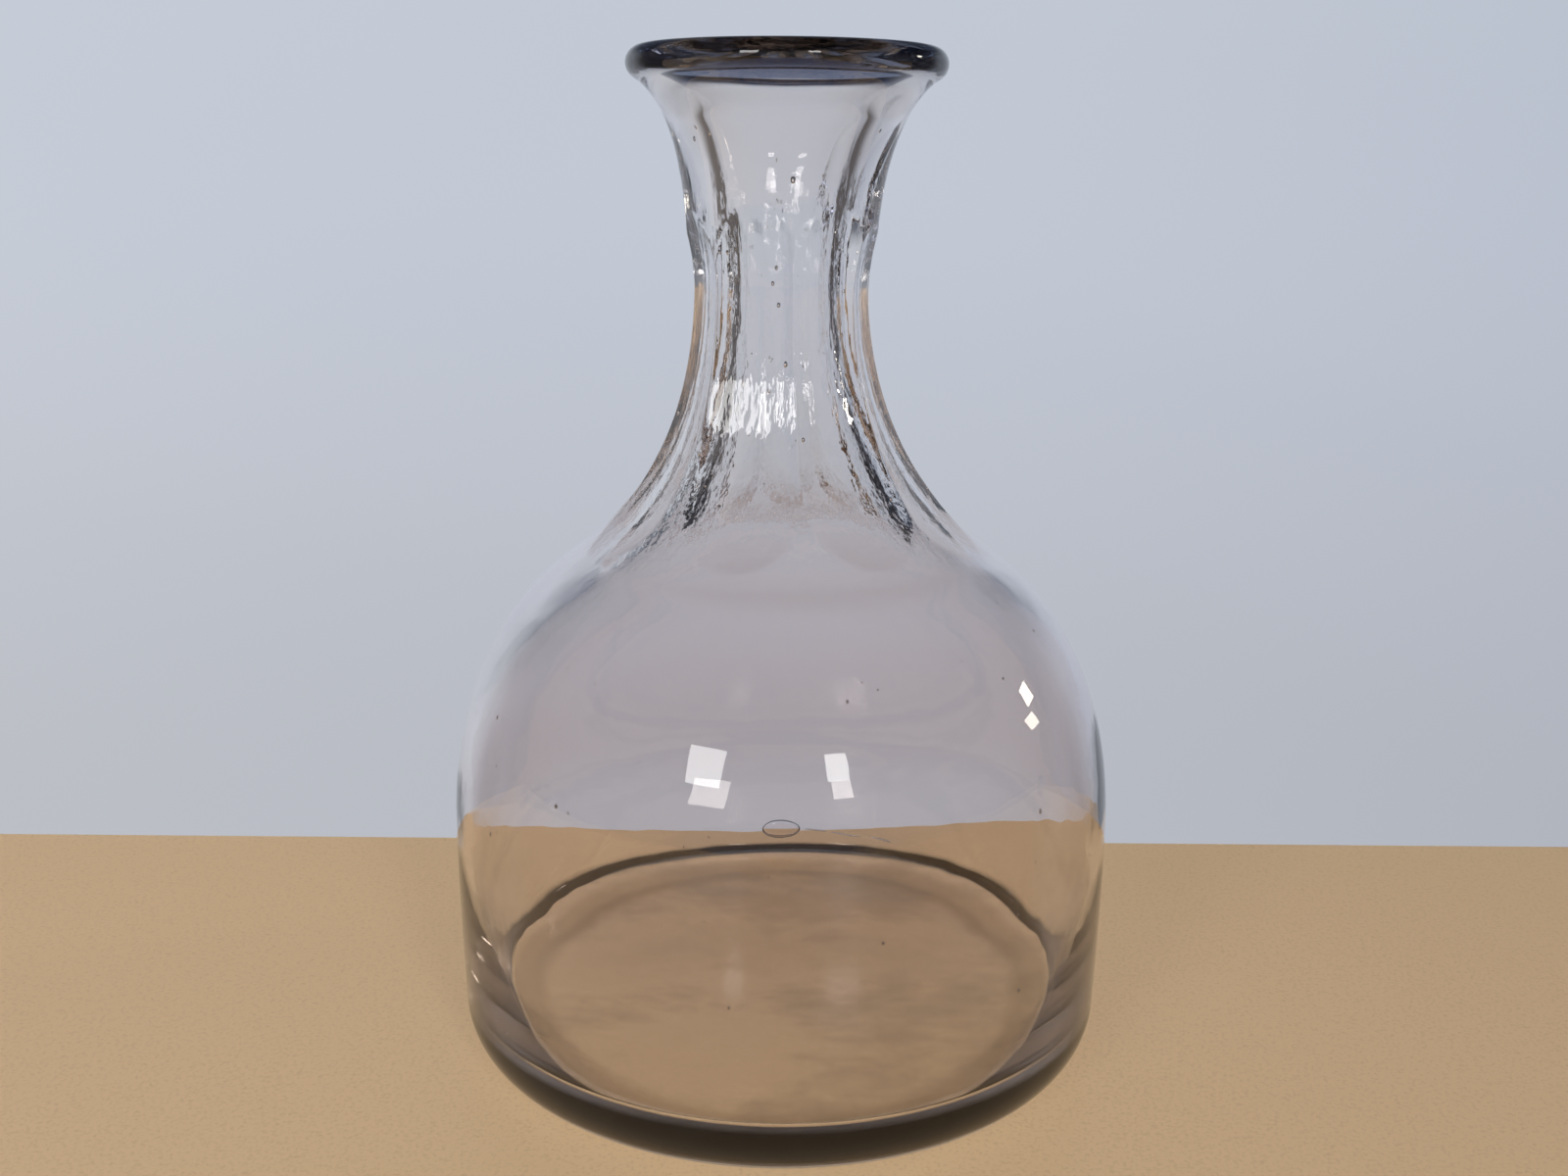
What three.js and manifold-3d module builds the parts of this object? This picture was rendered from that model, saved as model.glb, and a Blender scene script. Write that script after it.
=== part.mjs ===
// A hand-blown glass carafe: one piece of thick clear glass with a bell-shaped body, a waisted
// neck cut with eight long flutes, and a flared mouth with a rolled, fire-polished lip.
// Millimetres, +Z up, origin at the centre of the flat base.
import * as THREE from 'three';
import { mergeVertices } from 'three/addons/utils/BufferGeometryUtils.js';
import Module from 'manifold-3d';

// ---- Driving dimensions ------------------------------------------------------------------
// Heights above the table.
const TOTAL_HEIGHT = 200;
const SHOULDER_HEIGHT = 104; // where the domed shoulder turns into the neck, outside
const BELLY_HEIGHT = 45; // the widest level of the body

// Radii of the uncut outside.
const BODY_RADIUS = 66.8;
const SHOULDER_RADIUS = 40.4;
const NECK_RADIUS = 18.2; // at the waist of the neck
const RIM_RADIUS = 30.5;
const HEEL_RADIUS = 11.5; // rounding between the wall and the base
const BODY_TAPER = 0.8; // how much narrower the wall is just above the heel

// The glass.
const WALL = 2.8; // at the belly
const WALL_AT_HEEL = 5; // just above the floor
const BASE_THICKNESS = 12.5;
const FLOOR_FILLET = 2.2; // inside, between floor and wall
const BORE_RADIUS = 10.4; // at the waist of the neck
const SHOULDER_DROP_INSIDE = 6.4; // how much lower the shoulder is inside than outside
const SHOULDER_INSET_INSIDE = 0.55; // and how much smaller its radius is
const RIM_THICKNESS = 6.4; // of the rolled bead that is the outer part of the lip
const LIP_WIDTH = 14.6; // from the edge of the rim to the throat
const LIP_DEPTH = 11.5; // from the top of the rim down to the throat

// Slopes, measured from the horizontal.
const SHOULDER_SLOPE = THREE.MathUtils.degToRad(32);
const SHOULDER_SLOPE_INSIDE = THREE.MathUtils.degToRad(31.8);
const FLARE_SLOPE = THREE.MathUtils.degToRad(30); // the wall of the mouth, where it meets the bead
const THROAT_SLOPE = THREE.MathUtils.degToRad(66);
const HEEL_SLOPE_INSIDE = THREE.MathUtils.degToRad(75); // the wall, just above the floor fillet

// Shapes of the curves: how far each handle reaches, as a share of the curve's own rise.
const WAIST_UP_THE_NECK = 0.55; // the waist's place on the neck's own length
// DOME_REACH.shoulder and DOME_REACH_INSIDE.shoulder are shares of how far the shoulder is set in
// from the body, THROAT_REACH.throat is a share of how far the throat opens from the bore, and the
// other reaches are shares of a stretch's height.
const SIDE_REACH = 1 / 3;
const DOME_REACH = { belly: 0.1, shoulder: 1.071 };
const NECK_REACH = { shoulder: 0.02, waist: 0.72 };
const FLARE_REACH = { waist: 0.64, mouth: 0.093 };
const LIP_REACH = { top: 0.15, throat: 0.3 };
const THROAT_REACH = { throat: 0.469, waist: 0.62 };
const NECK_REACH_INSIDE = { waist: 0.253, shoulder: 0.507 };
const DOME_REACH_INSIDE = { shoulder: 1.061, belly: 0.222 };
const SIDE_REACH_INSIDE = { belly: 0.38, heel: 0.25 };

// The cut flutes.
const FLUTE_COUNT = 8;
const FLUTE_PHASE = THREE.MathUtils.degToRad(30.5); // middle of the first flute, from +X
const FLUTE_DEPTH = 2.4;
const FLUTE_FOOT_ABOVE_SHOULDER = 2.2;
const FLUTE_TOP_BELOW_RIM = 28.2;
const FOOT_RUN_OUT = 9; // length over which a flute reaches its depth at its foot
const TOP_RUN_OUT = 16;

// Facets.
const TURNS = 56; // round the axis
const FLUTE_STEPS = 16; // along a flute
const END_OVERRUN = 0.12; // share of a run-out by which the cut carries on past the glass
const STEPS = { heel: 6, side: 3, dome: 9, neck: 8, flare: 7, bead: 7, lip: 5, throat: 5 };
const STEPS_INSIDE = { neck: 7, dome: 7, side: 3, fillet: 4 };

// ---- The section of the glass --------------------------------------------------------------
const point = (r, z) => new THREE.Vector2(r, z);
const along = (from, slope, length) =>
  point(from.x + length * Math.cos(slope), from.y + length * Math.sin(slope));

// A smooth stretch from a to b, leaving and arriving along the two handles.
const sweep = (a, handleA, handleB, b, steps) =>
  new THREE.CubicBezierCurve(a, handleA, handleB, b).getPoints(steps);

// An arc about a centre, the angles measured from +X.
function arc(centre, radius, start, end, steps) {
  const at = (i) => start + ((end - start) * i) / steps;
  return Array.from({ length: steps + 1 }, (_, i) => along(centre, at(i), radius));
}

const waistHeight = SHOULDER_HEIGHT + WAIST_UP_THE_NECK * (TOTAL_HEIGHT - SHOULDER_HEIGHT);
const neckRise = waistHeight - SHOULDER_HEIGHT;
const flareRise = TOTAL_HEIGHT - waistHeight;
const domeRise = SHOULDER_HEIGHT - BELLY_HEIGHT;
const sideRise = BELLY_HEIGHT - HEEL_RADIUS;
const shoulderInset = BODY_RADIUS - SHOULDER_RADIUS;

// Outside, from the heel to the bead of the rim.
const heelCentre = point(BODY_RADIUS - BODY_TAPER - HEEL_RADIUS, HEEL_RADIUS);
const heel = arc(heelCentre, HEEL_RADIUS, -Math.PI / 2, 0, STEPS.heel);
const wallFoot = heel[heel.length - 1];
const belly = point(BODY_RADIUS, BELLY_HEIGHT);
const shoulder = point(SHOULDER_RADIUS, SHOULDER_HEIGHT);
const waist = point(NECK_RADIUS, waistHeight);
const side = sweep(
  wallFoot,
  point(wallFoot.x + BODY_TAPER / 2, wallFoot.y + SIDE_REACH * sideRise),
  point(BODY_RADIUS, BELLY_HEIGHT - SIDE_REACH * sideRise),
  belly,
  STEPS.side,
);
const dome = sweep(
  belly,
  point(BODY_RADIUS, BELLY_HEIGHT + DOME_REACH.belly * domeRise),
  along(shoulder, -SHOULDER_SLOPE, (DOME_REACH.shoulder * shoulderInset) / Math.cos(SHOULDER_SLOPE)),
  shoulder,
  STEPS.dome,
);
const neckCurve = sweep(
  shoulder,
  along(shoulder, Math.PI - SHOULDER_SLOPE, NECK_REACH.shoulder * neckRise),
  point(NECK_RADIUS, waistHeight - NECK_REACH.waist * neckRise),
  waist,
  STEPS.neck,
);
const beadRadius = RIM_THICKNESS / 2;
const beadCentre = point(RIM_RADIUS - beadRadius, TOTAL_HEIGHT - beadRadius);
const bead = arc(beadCentre, beadRadius, FLARE_SLOPE - Math.PI / 2, Math.PI / 2, STEPS.bead);
const mouth = bead[0];
const flareCurve = sweep(
  waist,
  point(NECK_RADIUS, waistHeight + FLARE_REACH.waist * flareRise),
  along(mouth, Math.PI + FLARE_SLOPE, FLARE_REACH.mouth * flareRise),
  mouth,
  STEPS.flare,
);

// Inside, from the top of the rim down to the floor.
const lipTop = bead[bead.length - 1];
const throat = point(RIM_RADIUS - LIP_WIDTH, TOTAL_HEIGHT - LIP_DEPTH);
const lip = sweep(
  lipTop,
  point(lipTop.x - LIP_REACH.top * (lipTop.x - throat.x), TOTAL_HEIGHT),
  along(throat, THROAT_SLOPE, LIP_REACH.throat * LIP_DEPTH),
  throat,
  STEPS.lip,
);
const boreWaist = point(BORE_RADIUS, waistHeight);
const throatRise = throat.y - waistHeight;
const throatOpening = throat.x - BORE_RADIUS;
const throatInside = sweep(
  throat,
  along(throat, Math.PI + THROAT_SLOPE, (THROAT_REACH.throat * throatOpening) / Math.cos(THROAT_SLOPE)),
  point(BORE_RADIUS, waistHeight + THROAT_REACH.waist * throatRise),
  boreWaist,
  STEPS.throat,
);
const shoulderInside = point(
  SHOULDER_RADIUS - SHOULDER_INSET_INSIDE,
  SHOULDER_HEIGHT - SHOULDER_DROP_INSIDE,
);
const neckRiseInside = waistHeight - shoulderInside.y;
const neckInside = sweep(
  boreWaist,
  point(BORE_RADIUS, waistHeight - NECK_REACH_INSIDE.waist * neckRiseInside),
  along(shoulderInside, Math.PI - SHOULDER_SLOPE_INSIDE, NECK_REACH_INSIDE.shoulder * neckRiseInside),
  shoulderInside,
  STEPS_INSIDE.neck,
);
const bellyInside = point(BODY_RADIUS - WALL, BELLY_HEIGHT);
const domeRiseInside = shoulderInside.y - BELLY_HEIGHT;
const shoulderInsetInside = bellyInside.x - shoulderInside.x;
const domeInside = sweep(
  shoulderInside,
  along(
    shoulderInside,
    -SHOULDER_SLOPE_INSIDE,
    (DOME_REACH_INSIDE.shoulder * shoulderInsetInside) / Math.cos(SHOULDER_SLOPE_INSIDE),
  ),
  point(bellyInside.x, BELLY_HEIGHT + DOME_REACH_INSIDE.belly * domeRiseInside),
  bellyInside,
  STEPS_INSIDE.dome,
);
const filletStart = HEEL_SLOPE_INSIDE - Math.PI / 2;
const filletCentre = point(
  BODY_RADIUS - BODY_TAPER - WALL_AT_HEEL - FLOOR_FILLET * Math.cos(filletStart),
  BASE_THICKNESS + FLOOR_FILLET,
);
const fillet = arc(filletCentre, FLOOR_FILLET, filletStart, -Math.PI / 2, STEPS_INSIDE.fillet);
const sideRiseInside = BELLY_HEIGHT - fillet[0].y;
const sideInside = sweep(
  bellyInside,
  point(bellyInside.x, BELLY_HEIGHT - SIDE_REACH_INSIDE.belly * sideRiseInside),
  along(fillet[0], HEEL_SLOPE_INSIDE, SIDE_REACH_INSIDE.heel * sideRiseInside),
  fillet[0],
  STEPS_INSIDE.side,
);

// The whole section, each stretch without the point that it shares with the one before.
const outside = [heel, side, dome, neckCurve, flareCurve].flatMap((part) => part.slice(1));
const inside = [lip, throatInside, neckInside, domeInside, sideInside, fillet];
const section = [
  point(0, 0),
  heel[0],
  ...outside,
  ...bead.slice(1),
  ...inside.flatMap((part) => part.slice(1)),
  point(0, BASE_THICKNESS),
];

// ---- Solids ----------------------------------------------------------------------------------
const wasm = await Module();
wasm.setup();

// A closed three.js mesh as a solid, with shared vertices and no flat triangles at the poles.
function solid(geometry) {
  const bare = geometry.clone();
  bare.deleteAttribute('normal');
  bare.deleteAttribute('uv');
  const merged = mergeVertices(bare, 1e-4);
  const index = merged.index.array;
  const triVerts = [];
  for (let i = 0; i < index.length; i += 3) {
    const [a, b, c] = [index[i], index[i + 1], index[i + 2]];
    if (a !== b && b !== c && c !== a) triVerts.push(a, b, c);
  }
  return new wasm.Manifold(
    new wasm.Mesh({
      numProp: 3,
      vertProperties: new Float32Array(merged.attributes.position.array),
      triVerts: new Uint32Array(triVerts),
    }),
  );
}

function geometryOf(body) {
  const mesh = body.getMesh();
  const geometry = new THREE.BufferGeometry();
  geometry.setAttribute('position', new THREE.BufferAttribute(mesh.vertProperties, 3));
  geometry.setIndex(new THREE.BufferAttribute(mesh.triVerts, 1));
  geometry.computeVertexNormals();
  return geometry;
}

// The uncut outside radius at a height, read off the outside curve.
function outsideRadius(z) {
  const i = outside.findIndex((p, n) => n > 0 && p.y >= z);
  const [low, high] = [outside[i - 1], outside[i]];
  return THREE.MathUtils.mapLinear(z, low.y, high.y, low.x, high.x);
}

const fluteFoot = SHOULDER_HEIGHT + FLUTE_FOOT_ABOVE_SHOULDER;
const fluteTop = TOTAL_HEIGHT - FLUTE_TOP_BELOW_RIM;

// How deep a flute is at a height: full along the neck, running out in a curve at both ends.
function fluteDepth(z) {
  const foot = Math.max(0, 1 - (z - fluteFoot) / FOOT_RUN_OUT);
  const top = Math.max(0, 1 - (fluteTop - z) / TOP_RUN_OUT);
  return FLUTE_DEPTH * (1 - Math.max(foot, top) ** 2);
}

// The bar of space that one flute takes away: flat across, curved along the neck.
function fluteCutter(angle) {
  const low = fluteFoot - END_OVERRUN * FOOT_RUN_OUT;
  const high = fluteTop + END_OVERRUN * TOP_RUN_OUT;
  const face = Array.from({ length: FLUTE_STEPS + 1 }, (_, i) => {
    const share = (1 - Math.cos((Math.PI * i) / FLUTE_STEPS)) / 2; // closest together at the ends
    const z = low + (high - low) * share;
    return point(outsideRadius(z) - fluteDepth(z), z);
  });
  const clear = SHOULDER_RADIUS + RIM_RADIUS;
  const outline = new THREE.Shape([...face, point(clear, high), point(clear, low)]);
  const width = 2 * SHOULDER_RADIUS;
  const bar = new THREE.ExtrudeGeometry(outline, { depth: width, bevelEnabled: false });
  bar.translate(0, 0, -width / 2);
  bar.rotateX(Math.PI / 2);
  bar.rotateZ(angle);
  return solid(bar);
}

const blank = new THREE.LatheGeometry(section, TURNS);
blank.rotateX(Math.PI / 2);
let glass = solid(blank);
for (let i = 0; i < FLUTE_COUNT; i += 1) {
  glass = glass.subtract(fluteCutter(FLUTE_PHASE + (i * 2 * Math.PI) / FLUTE_COUNT));
}

// ---- The part ----------------------------------------------------------------------------------
const carafe = new THREE.Group();
const vessel = new THREE.Mesh(
  geometryOf(glass),
  new THREE.MeshStandardMaterial({ color: 0xb9b6bd, roughness: 0.04, metalness: 0 }),
);
vessel.name = 'glass_vessel';
carafe.add(vessel);

export default carafe;
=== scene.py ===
# The looks of a hand-blown glass carafe with a slice-cut neck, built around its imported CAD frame.
# The glass is shaped in millimetres and becomes metres when its mesh is made; the materials, the
# board and the lights are in metres.
import math

import bmesh
import bpy
import numpy as np
from mathutils import Euler, Matrix, Vector


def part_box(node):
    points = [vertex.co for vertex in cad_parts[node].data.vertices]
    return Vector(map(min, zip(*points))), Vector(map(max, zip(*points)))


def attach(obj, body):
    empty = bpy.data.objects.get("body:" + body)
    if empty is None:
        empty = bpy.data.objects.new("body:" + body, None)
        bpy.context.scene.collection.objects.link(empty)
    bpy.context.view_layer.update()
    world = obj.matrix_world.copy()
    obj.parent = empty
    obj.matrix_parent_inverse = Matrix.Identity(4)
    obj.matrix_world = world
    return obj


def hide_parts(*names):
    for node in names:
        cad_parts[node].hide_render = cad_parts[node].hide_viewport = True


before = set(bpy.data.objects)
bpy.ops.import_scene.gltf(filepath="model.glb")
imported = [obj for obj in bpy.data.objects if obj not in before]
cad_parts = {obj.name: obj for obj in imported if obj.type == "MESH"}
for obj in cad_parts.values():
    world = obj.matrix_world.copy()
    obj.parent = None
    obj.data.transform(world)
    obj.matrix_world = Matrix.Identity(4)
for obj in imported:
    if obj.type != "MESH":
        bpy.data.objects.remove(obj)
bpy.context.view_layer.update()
high_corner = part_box("glass_vessel")[1]
MM = 0.001
rng = np.random.default_rng(7)

# ---- Camera: the photograph's viewing angle ----------------------------------------------------
CAMERA_AT = (0.0002, -0.3344, 0.17887)
CAMERA_DOWN = 14.05  # degrees below level
CAMERA_ROLL = 0.478
camera_data = bpy.data.cameras.new("camera")
camera_data.sensor_fit = "HORIZONTAL"
camera_data.sensor_width = 36.0
camera_data.lens = 39.06
camera_data.clip_start = 0.01
camera_data.clip_end = 50.0
camera = bpy.data.objects.new("camera", camera_data)
bpy.context.collection.objects.link(camera)
tilt = Euler((math.radians(90 - CAMERA_DOWN), 0, 0)).to_matrix().to_4x4()
roll = Matrix.Rotation(math.radians(CAMERA_ROLL), 4, "Z")
camera.matrix_world = Matrix.Translation(Vector(CAMERA_AT)) @ tilt @ roll
bpy.context.scene.camera = camera

# ---- The section of the glass ------------------------------------------------------------------
TOTAL = float(high_corner[2]) / MM - 0.01
BODY_RADIUS = min(float(high_corner[0]), float(high_corner[1])) / MM - 0.06
TURNS = 384


def bezier(a, b, c, d, count):
    t = np.linspace(0, 1, 400)[:, None]
    a, b, c, d = (np.array(p, float) for p in (a, b, c, d))
    curve = a * (1 - t) ** 3 + 3 * b * t * (1 - t) ** 2 + 3 * c * t * t * (1 - t) + d * t**3
    return even(curve, count)


def even(curve, count):
    """The same curve through points evenly spaced along it, without its first point."""
    run = np.concatenate([[0], np.cumsum(np.linalg.norm(np.diff(curve, axis=0), axis=1))])
    at = np.linspace(0, run[-1], count + 1)[1:]
    return np.stack([np.interp(at, run, curve[:, 0]), np.interp(at, run, curve[:, 1])], 1)


def along(start, degrees, length):
    a = math.radians(degrees)
    return (start[0] + length * math.cos(a), start[1] + length * math.sin(a))


def arc(centre, radius, start, end, count):
    a = np.radians(np.linspace(start, end, count + 1)[1:])
    return np.stack([centre[0] + radius * np.cos(a), centre[1] + radius * np.sin(a)], 1)


SHOULDER_R = 40.4
SHOULDER_H = 104.0
SHOULDER_R_IN = 39.85
SHOULDER_H_IN = 97.6
BELLY_H = 45.0
WAIST = 156.8  # height of the narrowest part of the neck
NECK_R = 18.2
BORE_R = 10.4
RIM_R = 30.5
LIP_R = 3.2  # rounding of the rolled lip
THROAT_R = 15.9
HEEL_R = 11.5  # rounding between the wall and the base
TAPER = 0.8  # how much narrower the wall is just above the heel
BASE_R = 54.5  # flat part of the base
BELLY_IN = 64.0
WALL_FOOT_IN = 60.6  # inside radius where the wall meets the floor
FLOOR = 12.5  # thickness of the base
FILLET = 2.2
HEEL_LEAN = 15.0  # degrees the wall leans just above the floor, inside
SLOPE = 32  # of the shoulder, in degrees
SLOPE_IN = 31.8
FLARE_SLOPE = 30.0
THROAT_SLOPE = 66.0
LIP_DEPTH = 11.5  # from the top of the rim down to the throat

shoulder = (SHOULDER_R, SHOULDER_H)
shoulder_in = (SHOULDER_R_IN, SHOULDER_H_IN)
belly = (BODY_RADIUS, BELLY_H)
belly_in = (BELLY_IN, BELLY_H)
waist = (NECK_R, WAIST)
waist_in = (BORE_R, WAIST)
bead_centre = (RIM_R - LIP_R, TOTAL - LIP_R)
mouth_out = along(bead_centre, FLARE_SLOPE - 90, LIP_R)
lip_top = (bead_centre[0], TOTAL)
throat = (THROAT_R, TOTAL - LIP_DEPTH)
fillet_centre = (WALL_FOOT_IN - FILLET, FLOOR + FILLET)
fillet_top = along(fillet_centre, -HEEL_LEAN, FILLET)
rise_dome = SHOULDER_H - BELLY_H
rise_neck = WAIST - SHOULDER_H
rise_flare = TOTAL - WAIST
rise_throat = throat[1] - WAIST
rise_neck_in = WAIST - SHOULDER_H_IN
rise_dome_in = SHOULDER_H_IN - BELLY_H

# Outside, from the middle of the base up to the top of the rim.
base = even(np.array([(0.0, 0.0), (BASE_R, 0.0)]), 14)
heel = arc((BODY_RADIUS - TAPER - HEEL_R, HEEL_R), HEEL_R, -90, 0, 24)
side = bezier(heel[-1], (66.4, 22.7), (BODY_RADIUS, 33.8), belly, 14)
dome = bezier(belly, (BODY_RADIUS, BELLY_H + 0.1 * rise_dome),
              along(shoulder, -SLOPE, 0.565 * rise_dome), shoulder, 52)
neck = bezier(shoulder, along(shoulder, 180 - SLOPE, 0.02 * rise_neck),
              (NECK_R, WAIST - 0.72 * rise_neck), waist, 130)
flare = bezier(waist, (NECK_R, WAIST + 0.64 * rise_flare),
               along(mouth_out, 180 + FLARE_SLOPE, 0.093 * rise_flare), mouth_out, 90)
bead = arc(bead_centre, LIP_R, FLARE_SLOPE - 90, 90, 22)

# Inside, from the top of the rim down to the middle of the floor.
lip_in = bezier(lip_top, (lip_top[0] - 0.15 * (lip_top[0] - throat[0]), TOTAL),
                along(throat, THROAT_SLOPE, 0.3 * LIP_DEPTH), throat, 26)
flare_in = bezier(throat, along(throat, 180 + THROAT_SLOPE, 0.2 * rise_throat),
                  (BORE_R, WAIST + 0.62 * rise_throat), waist_in, 36)
neck_in = bezier(waist_in, (BORE_R, WAIST - 0.253 * rise_neck_in),
                 along(shoulder_in, 180 - SLOPE_IN, 0.507 * rise_neck_in), shoulder_in, 44)
dome_in = bezier(shoulder_in, along(shoulder_in, -SLOPE_IN, 0.573 * rise_dome_in),
                 (BELLY_IN, BELLY_H + 0.222 * rise_dome_in), belly_in, 34)
side_in = bezier(belly_in, (BELLY_IN, 33.0), along(fillet_top, 90 - HEEL_LEAN, 8.0), fillet_top, 16)
fillet = arc(fillet_centre, FILLET, -HEEL_LEAN, -90, 16)
floor_in = even(np.array([(fillet_centre[0], FLOOR), (0.0, FLOOR)]), 18)[:-1]

outer_rows = np.concatenate([base, heel, side, dome, neck, flare, bead])
inner_rows = np.concatenate([lip_in, flare_in, neck_in, dome_in, side_in, fillet, floor_in])
rows = np.concatenate([outer_rows, inner_rows])
is_inner = np.arange(len(rows)) >= len(outer_rows)

# ---- The cut flutes and the hand-made unevenness -----------------------------------------------
# Each flute: its middle in degrees from -Y towards +X, its foot and its top.
FLUTES = [
    (-69.0, 104.2, 170.0),
    (-15.5, 106.5, 171.7),
    (31.0, 106.5, 171.7),
    (74.5, 104.2, 168.0),
    (118.0, 106.0, 186.5),
    (163.0, 106.5, 172.0),
    (208.0, 106.5, 172.0),
    (250.0, 106.0, 171.0),
]
FLUTE_DEPTH = 2.4
FLUTE_REACH = 60  # degrees to each side of its middle within which a flute can cut
FOOT_RUN = 9.0  # length over which a flute reaches its depth
TOP_RUN = 16.0
HOLLOW = 0.0057  # curvature of the cut face, per mm
SOFT = 0.07  # rounding of the edges between flutes
UNCUT = 1e3  # a radius no cut reaches
FLOOR_TILT = 1.6  # rise of the floor towards the back, at FLOOR_TILT_R from the axis
FLOOR_TILT_R = 60
NECK_LEAN = 0.8  # the neck leans this far to the left
OFF_CENTRE = 1.6  # the inside of the shoulder sits this far to the right
OUTER_WAVE = 0.06
INNER_WAVE = 0.2
FLOOR_WAVE = 0.12

theta = np.linspace(0, 2 * np.pi, TURNS, endpoint=False)  # from -Y towards +X


def waves(count, most_turns, per_mm, seed):
    """A smooth random field over angle and height, about -1 to 1."""
    r = np.random.default_rng(seed)
    total = np.zeros((len(rows), TURNS))
    for _ in range(count):
        m = r.integers(0, most_turns + 1)
        k = r.uniform(-per_mm, per_mm)
        phase = r.uniform(0, 2 * np.pi)
        total += np.cos(m * theta[None, :] + k * rows[:, 1:2] + phase)
    return total / math.sqrt(count) / 1.6


def bell(middle, spread):
    """1 at the middle height, fading to 0 over the spread above and below."""
    return np.exp(-(((z - middle) / spread) ** 2))


radius = np.repeat(rows[:, :1], TURNS, axis=1)
height = np.repeat(rows[:, 1:], TURNS, axis=1)
z = rows[:, 1:2]
cut_rows = (~is_inner) & (rows[:, 1] > 100) & (rows[:, 1] < 192)
uncut = rows[:, :1]
candidates = [radius.copy()]
for middle, foot_z, top_z in FLUTES:
    turn = (theta[None, :] - math.radians(middle) + np.pi) % (2 * np.pi) - np.pi
    foot = np.maximum(0, 1 - (z - foot_z) / FOOT_RUN)
    top = np.maximum(0, 1 - (top_z - z) / TOP_RUN)
    depth = FLUTE_DEPTH * (1 - np.maximum(foot, top) ** 2)
    face = uncut - depth
    facing = np.abs(turn) < math.radians(FLUTE_REACH)
    safe = np.where(facing, turn, 0)
    offset = face * np.tan(safe)
    cut = (face + 0.5 * HOLLOW * offset**2) / np.cos(safe)
    cut = np.where(facing & (depth > -0.3) & cut_rows[:, None], cut, UNCUT)
    candidates.append(cut)
stack = np.stack(candidates)
least = stack.min(0)
soft = least - SOFT * np.log(np.exp(-(stack - least) / SOFT).sum(0))
radius = np.where(cut_rows[:, None], soft, radius)

near_wall = np.clip((rows[:, :1] - 8) / 20, 0, 1) * np.ones((1, TURNS))
outer_wave = OUTER_WAVE * (waves(9, 3, 0.05, 3) - 1.0)
inner_wave = INNER_WAVE * waves(10, 4, 0.07, 5)
between = np.clip((rows[:, 1:2] - 2) / 12, 0, 1)
on_bead = np.clip((TOTAL - rows[:, 1:2]) / 6, 0.25, 1)
wave = np.where(is_inner[:, None], inner_wave * on_bead * near_wall, outer_wave * between)
radius = radius + wave
floor_rows = is_inner & (rows[:, 1] < FLOOR + 0.5) & (rows[:, 0] < 59)
floor_wave = FLOOR_WAVE * waves(7, 3, 0.3, 11) * near_wall
height = height + np.where(floor_rows[:, None], floor_wave, 0)

x = radius * np.sin(theta)[None, :]
y = -radius * np.cos(theta)[None, :]
tilted = np.where(is_inner[:, None], np.clip((34 - rows[:, 1:2]) / 20, 0, 1), 0)
height = height + tilted * FLOOR_TILT * y / FLOOR_TILT_R
lean = -NECK_LEAN * bell(155, 34) * np.clip((TOTAL - z) / 22, 0, 1)
x = x + lean
off_centre = OFF_CENTRE * bell(100, 26)
x = x + np.where(is_inner[:, None], off_centre, 0)

# ---- Mesh --------------------------------------------------------------------------------------
rings = len(rows)
points = np.stack([x, y, height], 2).reshape(-1, 3)
i, j = np.meshgrid(np.arange(rings - 1), np.arange(TURNS), indexing="ij")
nxt = (j + 1) % TURNS
quads = np.stack([i * TURNS + j, i * TURNS + nxt, (i + 1) * TURNS + nxt, (i + 1) * TURNS + j], 2)
quads = quads.reshape(-1, 4)
base_pole = len(points)
floor_pole = base_pole + 1
points = np.concatenate([points, [(0, 0, 0.0), (0, 0, height[-1].mean())]])
ring = np.arange(TURNS)
fan_base = np.stack([np.full(TURNS, base_pole), (ring + 1) % TURNS, ring], 1)
last = (rings - 1) * TURNS
fan_floor = np.stack([np.full(TURNS, floor_pole), last + ring, last + (ring + 1) % TURNS], 1)


# ---- Seeds and the blister: small closed hollows in the glass ----------------------------------
def hollow_shell(centre, half, long_axis, detail=2):
    """A closed ellipsoid whose faces look into its hollow."""
    bm = bmesh.new()
    bmesh.ops.create_icosphere(bm, subdivisions=detail, radius=1.0)
    turn = Vector((0, 0, 1)).rotation_difference(Vector(long_axis)).to_matrix()
    verts = np.array([turn @ Vector((v.co.x * half[0], v.co.y * half[1], v.co.z * half[2]))
                      for v in bm.verts]) + np.array(centre)
    faces = np.array([[v.index for v in reversed(f.verts)] for f in bm.faces])
    bm.free()
    return verts, faces


def wall_at(height_mm, inner):
    """Radius of the plain inside or outside at a height."""
    part = rows[is_inner] if inner else rows[~is_inner]
    part = part[part[:, 0] > 9]
    order = np.argsort(part[:, 1])
    return float(np.interp(height_mm, part[order, 1], part[order, 0]))


def in_wall(angle, height_mm, share):
    """A point in the wall, share 0 at the inside and 1 at the outside or the flutes' faces."""
    r_in, r_out = wall_at(height_mm, True), wall_at(height_mm, False)
    if 108 < height_mm < 170:
        r_out -= FLUTE_DEPTH
    r = r_in + share * (r_out - r_in)
    a = math.radians(angle)
    return (r * math.sin(a), -r * math.cos(a), height_mm)


# The blister low in the back wall: angle, height and half sizes.
BLISTER = (180.4, 18.3, (4.8, 1.0, 2.8))
# Its drawn-out tail: angle, height and half length of each piece.
TAIL = [(172.5, 18.0, 3.0), (165.5, 17.0, 4.2), (157.0, 16.4, 3.0)]
TAIL_HALF = 0.22  # half width
TAIL_RISE = 0.12
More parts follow.
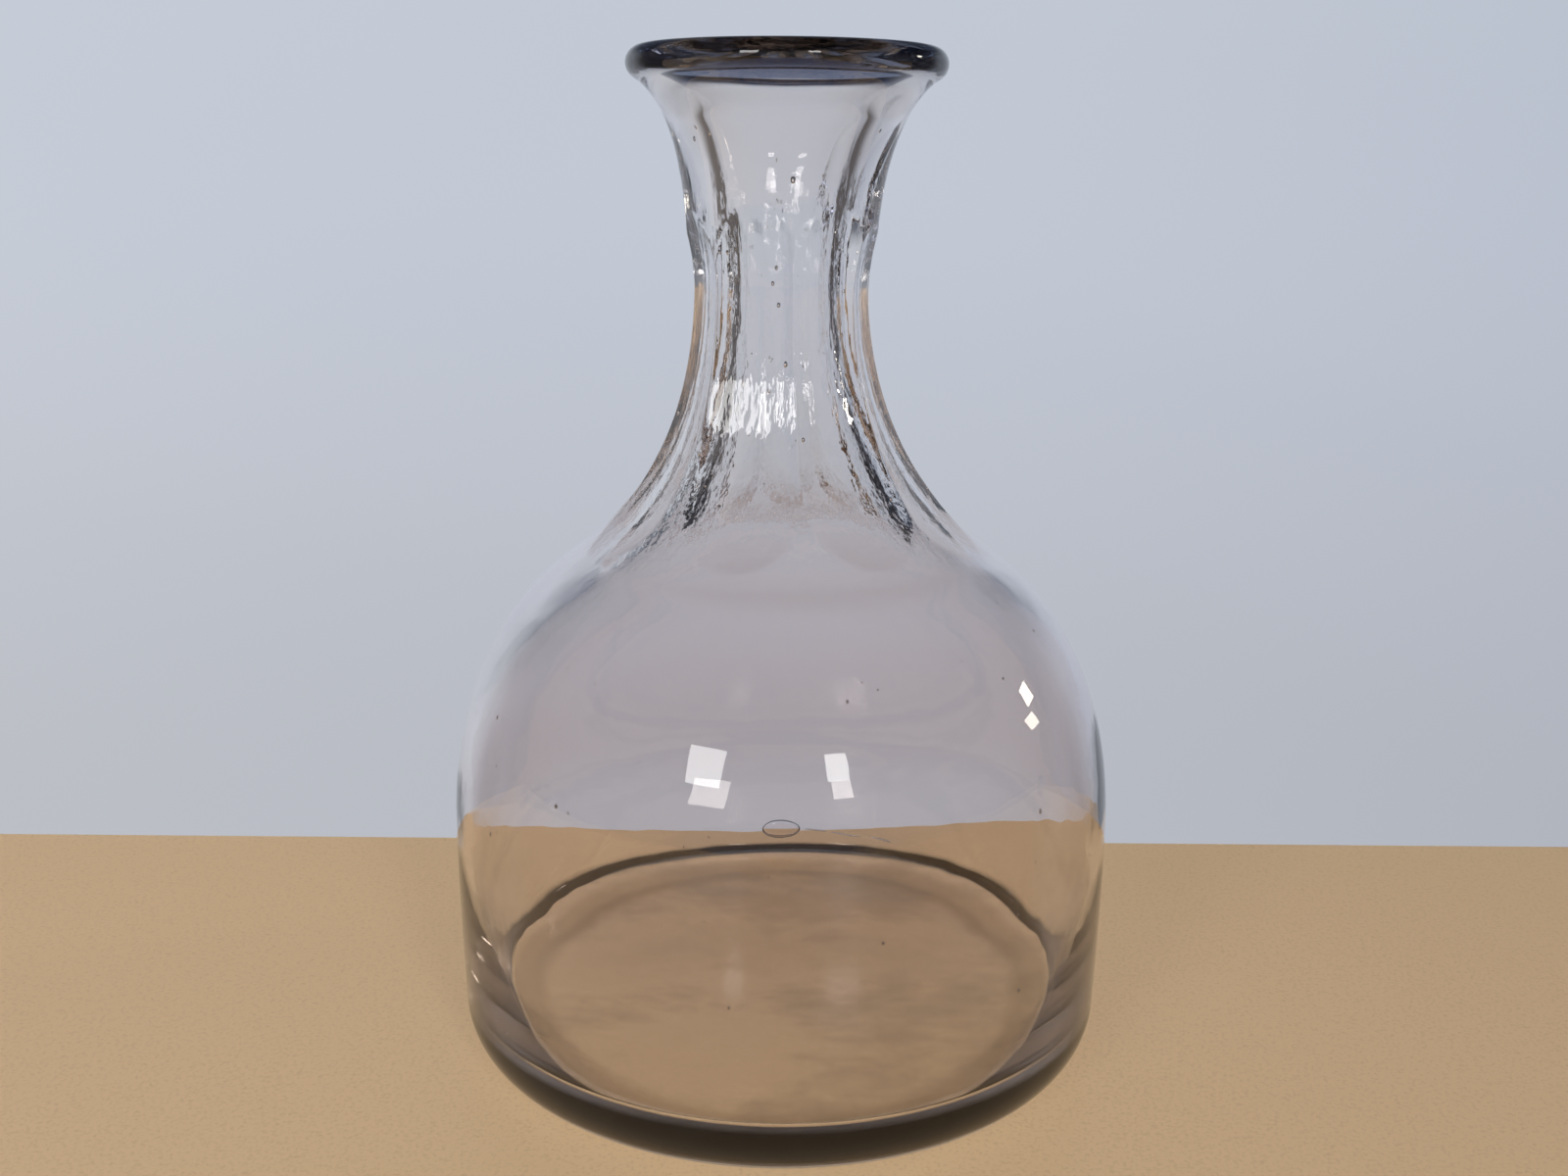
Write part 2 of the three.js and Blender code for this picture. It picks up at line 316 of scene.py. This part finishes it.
# Seeds that the neck shows: angle, height, share of the wall and half width.
SEEDS = [(4, 176, 0.5, 0.45), (-6, 160, 0.5, 0.3), (-9, 157, 0.4, 0.3), (-4, 153, 0.5, 0.32),
         (2, 142, 0.5, 0.4), (-10, 137, 0.5, 0.3), (9, 128, 0.5, 0.35)]
SEED_STRETCH = 1.5
SMALL_SEEDS = 70
UP = (0, 0, 1)

angle, h, half = BLISTER
shells = [hollow_shell(in_wall(angle, h, 0.5), half, UP, 4)]
for angle, h, half in TAIL:
    a = math.radians(angle)
    shells.append(hollow_shell(in_wall(angle, h, 0.5), (TAIL_HALF, TAIL_HALF, half),
                               (math.cos(a), math.sin(a), TAIL_RISE), 3))
for angle, h, share, size in SEEDS:
    shells.append(hollow_shell(in_wall(angle, h, share), (size, size, SEED_STRETCH * size), UP))
for _ in range(SMALL_SEEDS):
    h = float(rng.uniform(10, 185))
    share = float(rng.uniform(0.3, 0.7))
    size = float(rng.uniform(0.12, 0.34))
    angle = float(rng.uniform(0, 360))
    stretch = 1.2 + 0.8 * float(rng.random())
    shells.append(hollow_shell(in_wall(angle, h, share), (size, size, stretch * size), UP))

tris = [fan_base, fan_floor]
start = len(points)
for verts, faces in shells:
    tris.append(faces + start)
    points = np.concatenate([points, verts])
    start += len(verts)
tris = np.concatenate(tris)

mesh = bpy.data.meshes.new("carafe_glass")
mesh.vertices.add(len(points))
mesh.vertices.foreach_set("co", (points * MM).astype(np.float32).ravel())
loops = np.concatenate([quads.ravel(), tris.ravel()]).astype(np.int32)
mesh.loops.add(len(loops))
mesh.loops.foreach_set("vertex_index", loops)
starts = np.concatenate([np.arange(len(quads)) * 4, len(quads) * 4 + np.arange(len(tris)) * 3])
mesh.polygons.add(len(starts))
mesh.polygons.foreach_set("loop_start", starts.astype(np.int32))
mesh.polygons.foreach_set("use_smooth", np.ones(len(starts), bool))
mesh.update(calc_edges=True)
mesh.validate()
carafe = bpy.data.objects.new("carafe_glass", mesh)
bpy.context.collection.objects.link(carafe)


# ---- Materials ---------------------------------------------------------------------------------
CLEAR = (0.980, 0.970, 0.972)
FILM_AND_SHADE_TINT = (0.930, 0.878, 0.872)
SCUFF_AND_CONTACT_SHADE = (0.62, 0.57, 0.52)
HEEL_SHADE = (0.004, 0.003, 0.002)
LIP_SHADE = (0.036, 0.052, 0.105)
WATER_MARK = (0.62, 0.61, 0.61)
GLASS_IOR = 1.51
ABSORPTION = (0.90, 0.83, 0.80, 1)
ABSORPTION_DENSITY = 15.0
BOARD_DARK = (0.69, 0.48, 0.27, 1)
BOARD_LIGHT = (0.81, 0.575, 0.34, 1)
BOARD_ROUGHNESS = 0.55


def new_material(name):
    m = bpy.data.materials.new(name)
    m.use_nodes = True
    nodes, links = m.node_tree.nodes, m.node_tree.links
    return m, nodes, links, nodes["Principled BSDF"]


glass, nodes, links, shader = new_material("smoky_glass")
output = nodes["Material Output"]
shader.inputs["Transmission Weight"].default_value = 1.0
shader.inputs["IOR"].default_value = GLASS_IOR
shader.inputs["Roughness"].default_value = 0.0
absorb = nodes.new("ShaderNodeVolumeAbsorption")
absorb.inputs["Color"].default_value = ABSORPTION
absorb.inputs["Density"].default_value = ABSORPTION_DENSITY
links.new(absorb.outputs["Volume"], output.inputs["Volume"])
coords = nodes.new("ShaderNodeTexCoord")
place = nodes.new("ShaderNodeSeparateXYZ")
links.new(coords.outputs["Object"], place.inputs[0])


def math_node(operation, a, b=None, c=None):
    n = nodes.new("ShaderNodeMath")
    n.operation = operation
    for socket, value in zip(n.inputs, (a, b, c)):
        if value is None:
            continue
        if isinstance(value, (int, float)):
            socket.default_value = value
        else:
            links.new(value, socket)
    return n.outputs[0]


def times(a, b):
    return math_node("MULTIPLY", a, b)


def step(value, low, high):
    """0 below low and 1 above high, smooth between; falling where low is above high."""
    n = nodes.new("ShaderNodeMapRange")
    n.interpolation_type = "SMOOTHSTEP"
    n.inputs["From Min"].default_value = min(low, high)
    n.inputs["From Max"].default_value = max(low, high)
    n.inputs["To Min"].default_value = 0.0 if low < high else 1.0
    n.inputs["To Max"].default_value = 1.0 if low < high else 0.0
    links.new(value, n.inputs["Value"])
    return n.outputs["Result"]


def mix_colour(factor, a, b):
    n = nodes.new("ShaderNodeMix")
    n.data_type = "RGBA"
    links.new(factor, n.inputs["Factor"])
    for socket, value in ((n.inputs[6], a), (n.inputs[7], b)):
        if isinstance(value, tuple):
            socket.default_value = (*value, 1)
        else:
            links.new(value, socket)
    return n.outputs[2]


def noise_at(scale, detail=2.0, stretch=(1, 1, 1), roughness=0.5):
    place_by = nodes.new("ShaderNodeMapping")
    place_by.inputs["Scale"].default_value = stretch
    links.new(coords.outputs["Object"], place_by.inputs["Vector"])
    n = nodes.new("ShaderNodeTexNoise")
    n.inputs["Scale"].default_value = scale
    n.inputs["Detail"].default_value = detail
    n.inputs["Roughness"].default_value = roughness
    links.new(place_by.outputs["Vector"], n.inputs["Vector"])
    return n.outputs["Fac"]


x_at, y_at, height_at = (place.outputs[axis] for axis in "XYZ")
out_from_axis = math_node("SQRT", math_node("ADD", times(x_at, x_at), times(y_at, y_at)))

# A faint tint dulls the body: partly a thin dry film, partly painted shade that darkens the view
# through the body; the neck is clear and the lowest part nearly so.
film_and_shade_amount = times(step(height_at, 0.124, 0.084),
                    math_node("MULTIPLY_ADD", step(height_at, 0.030, 0.052), 0.78, 0.22))
film_and_shade_amount = times(film_and_shade_amount, math_node("MULTIPLY_ADD", noise_at(24.0, 3.0), 0.5, 0.72))
tint = mix_colour(film_and_shade_amount, CLEAR, FILM_AND_SHADE_TINT)
# The resting edge is scuffed, and its darker tint is partly painted contact shade where it meets
# the board.
scuff_and_contact_shade = times(step(height_at, 0.0030, 0.0006), step(out_from_axis, 0.0490, 0.0535))
tint = mix_colour(scuff_and_contact_shade, tint, SCUFF_AND_CONTACT_SHADE)
# Painted shade: the heel is tinted nearly black, standing for the dark it shows where light runs a
# long way through the base to reach it.
heel_shade_amount = times(step(height_at, 0.0140, 0.0118), step(height_at, 0.0032, 0.0052))
heel_shade_amount = times(heel_shade_amount, step(out_from_axis, 0.0628, 0.0640))
tint = mix_colour(heel_shade_amount, tint, HEEL_SHADE)
# Painted shade: the lip is tinted dark and bluish, standing for the dark room it refracts.
tint = mix_colour(step(height_at, 0.1935, 0.1955), tint, LIP_SHADE)
# Old water marks cloud the floor.
on_floor = times(step(height_at, 0.0160, 0.0146), step(height_at, 0.0060, 0.0095))
on_floor = times(on_floor, step(out_from_axis, 0.0615, 0.0600))
marks = step(noise_at(30.0, 5.0, (0.6, 1.0, 1.0), 0.66), 0.46, 0.66)
tint = mix_colour(times(on_floor, marks), tint, WATER_MARK)
links.new(tint, shader.inputs["Base Color"])

# The marks, the underside, the scuffed edge and specks of dust are rougher than the glass.
cloud = math_node("MULTIPLY_ADD", marks, 0.14, 0.10)
underside = times(step(height_at, 0.0012, 0.0004), step(out_from_axis, 0.0560, 0.0530))
dust = step(noise_at(900.0, 2.0), 0.70, 0.80)
rough = math_node("MAXIMUM", times(cloud, on_floor), times(underside, 0.2))
rough = math_node("MAXIMUM", rough, times(scuff_and_contact_shade, 0.25))
rough = math_node("MAXIMUM", rough, times(dust, 0.05))
links.new(rough, shader.inputs["Roughness"])

# Slow waves of hand-blown glass, the wheel's streaks on the cut neck, and a rougher bore.
neck_zone = times(step(height_at, 0.100, 0.112), step(height_at, 0.182, 0.168))
in_bore = times(neck_zone, step(out_from_axis, 0.0150, 0.0125))
streaks = times(noise_at(620.0, 2.0, (1, 1, 0.035)), neck_zone)
pitting = times(noise_at(420.0, 3.0, (1, 1, 0.45)), in_bore)
relief = math_node("MULTIPLY_ADD", streaks, 0.130, times(noise_at(55.0), 0.12))
relief = math_node("MULTIPLY_ADD", pitting, 0.220, relief)
bump = nodes.new("ShaderNodeBump")
bump.inputs["Strength"].default_value = 1.0
bump.inputs["Distance"].default_value = 0.001
links.new(relief, bump.inputs["Height"])
links.new(bump.outputs["Normal"], shader.inputs["Normal"])
mesh.materials.append(glass)

# ---- Stage -------------------------------------------------------------------------------------
BOARD_BACK = 0.0996
BOARD_FRONT = -1.4
BOARD_WIDTH = 2.4
BOARD_THICKNESS = 0.018
BOARD_TOP = -0.0002
board_mesh = bpy.data.meshes.new("floor")
bm = bmesh.new()
bmesh.ops.create_cube(bm, size=1.0)
for v in bm.verts:
    v.co.x *= BOARD_WIDTH
    v.co.y = BOARD_BACK if v.co.y > 0 else BOARD_FRONT
    v.co.z = BOARD_TOP if v.co.z > 0 else BOARD_TOP - BOARD_THICKNESS
bmesh.ops.bevel(bm, geom=bm.edges[:], offset=0.0015, segments=3, affect="EDGES")
bm.to_mesh(board_mesh)
bm.free()
board = bpy.data.objects.new("floor", board_mesh)
bpy.context.collection.objects.link(board)
pale, nodes, links, shader = new_material("pale_floor")
coords = nodes.new("ShaderNodeTexCoord")
grain = nodes.new("ShaderNodeTexNoise")
grain.inputs["Scale"].default_value = 1100.0
grain.inputs["Detail"].default_value = 4.0
grain.inputs["Roughness"].default_value = 0.7
links.new(coords.outputs["Object"], grain.inputs["Vector"])
fleck = nodes.new("ShaderNodeValToRGB")
fleck.color_ramp.elements[0].position = 0.30
fleck.color_ramp.elements[0].color = BOARD_DARK
fleck.color_ramp.elements[1].position = 0.50
fleck.color_ramp.elements[1].color = BOARD_LIGHT
links.new(grain.outputs["Fac"], fleck.inputs["Fac"])
links.new(fleck.outputs["Color"], shader.inputs["Base Color"])
shader.inputs["Roughness"].default_value = BOARD_ROUGHNESS
board_mesh.materials.append(pale)

world = bpy.data.worlds.new("studio")
bpy.context.scene.world = world
world.use_nodes = True
nodes, links = world.node_tree.nodes, world.node_tree.links
background = nodes["Background"]
coords = nodes.new("ShaderNodeTexCoord")
split = nodes.new("ShaderNodeSeparateXYZ")
links.new(coords.outputs["Generated"], split.inputs[0])


def ramp(source, stops):
    """A colour that follows a -1 to 1 value through (value, colour) stops."""
    to_unit = nodes.new("ShaderNodeMapRange")
    to_unit.inputs["From Min"].default_value = -1
    to_unit.inputs["From Max"].default_value = 1
    links.new(source, to_unit.inputs["Value"])
    r = nodes.new("ShaderNodeValToRGB")
    r.color_ramp.interpolation = "EASE"
    elements = r.color_ramp.elements
    while len(elements) < len(stops):
        elements.new(0.5)
    for element, (value, colour) in zip(elements, stops):
        element.position = (value + 1) / 2
        element.color = (*colour, 1)
    links.new(to_unit.outputs["Result"], r.inputs["Fac"])
    return r.outputs["Color"]


by_height = ramp(split.outputs["Z"], [
    (-1.0, (0.40, 0.42, 0.45)),
    (-0.35, (0.48, 0.50, 0.55)),
    (0.0, (0.54, 0.58, 0.66)),
    (0.17, (0.54, 0.59, 0.67)),
    (0.42, (0.08, 0.10, 0.14)),
    (1.0, (0.03, 0.04, 0.06)),
])
by_depth = ramp(split.outputs["Y"], [
    (-1.0, (0.38, 0.38, 0.38)),
    (-0.4, (0.24, 0.23, 0.23)),
    (0.10, (0.13, 0.11, 0.10)),
    (0.48, (0.20, 0.18, 0.17)),
    (0.74, (1.0, 1.0, 1.0)),
    (1.0, (1.0, 1.0, 1.0)),
])
by_side = ramp(split.outputs["X"], [
    (-1.0, (1.12, 1.10, 1.06)),
    (0.0, (1.0, 1.0, 1.0)),
    (1.0, (0.78, 0.80, 0.84)),
])


def multiply(a, b):
    m = nodes.new("ShaderNodeMix")
    m.data_type = "RGBA"
    m.blend_type = "MULTIPLY"
    m.inputs["Factor"].default_value = 1.0
    links.new(a, m.inputs[6])
    links.new(b, m.inputs[7])
    return m.outputs[2]


links.new(multiply(multiply(by_height, by_depth), by_side), background.inputs["Color"])


def soft_light(name, place, target, size, watts, colour):
    data = bpy.data.lights.new(name, "AREA")
    data.shape = "RECTANGLE"
    data.size, data.size_y = size
    data.energy = watts
    data.color = colour
    light = bpy.data.objects.new(name, data)
    light.location = place
    aim = Vector(target) - Vector(place)
    light.rotation_euler = aim.to_track_quat("-Z", "Y").to_euler()
    bpy.context.collection.objects.link(light)
    return light


soft_light("window", (-0.80, -1.56, 0.80), (0, 0, 0.09), (0.40, 0.42), 4.5, (1.0, 0.99, 0.97))
soft_light("window_far", (0.60, -1.70, 0.86), (0, 0, 0.09), (0.26, 0.30), 2.5, (1.0, 0.99, 0.97))
soft_light("side_lamp", (1.70, 0.50, 0.56), (0, 0, 0.09), (0.16, 0.16), 1.2, (1.0, 0.93, 0.80))
# The light from above reaches the board only, and the glass doesn't block it.
overhead = soft_light("overhead", (-1.1, -0.3, 1.6), (0, 0, 0), (2.6, 2.6), 34, (1.0, 0.97, 0.93))
lit_from_above = bpy.data.collections.new("lit_from_above")
lit_from_above.objects.link(board)
overhead.light_linking.receiver_collection = lit_from_above
overhead.light_linking.blocker_collection = lit_from_above

scene = bpy.context.scene
scene.view_settings.view_transform = "Standard"
scene.view_settings.look = "None"
scene.cycles.max_bounces = 24
scene.cycles.transmission_bounces = 24
scene.cycles.glossy_bounces = 12
scene.cycles.diffuse_bounces = 3
scene.cycles.blur_glossy = 0.4

# ---- Frame -------------------------------------------------------------------------------------
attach(carafe, "root")
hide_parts("glass_vessel")
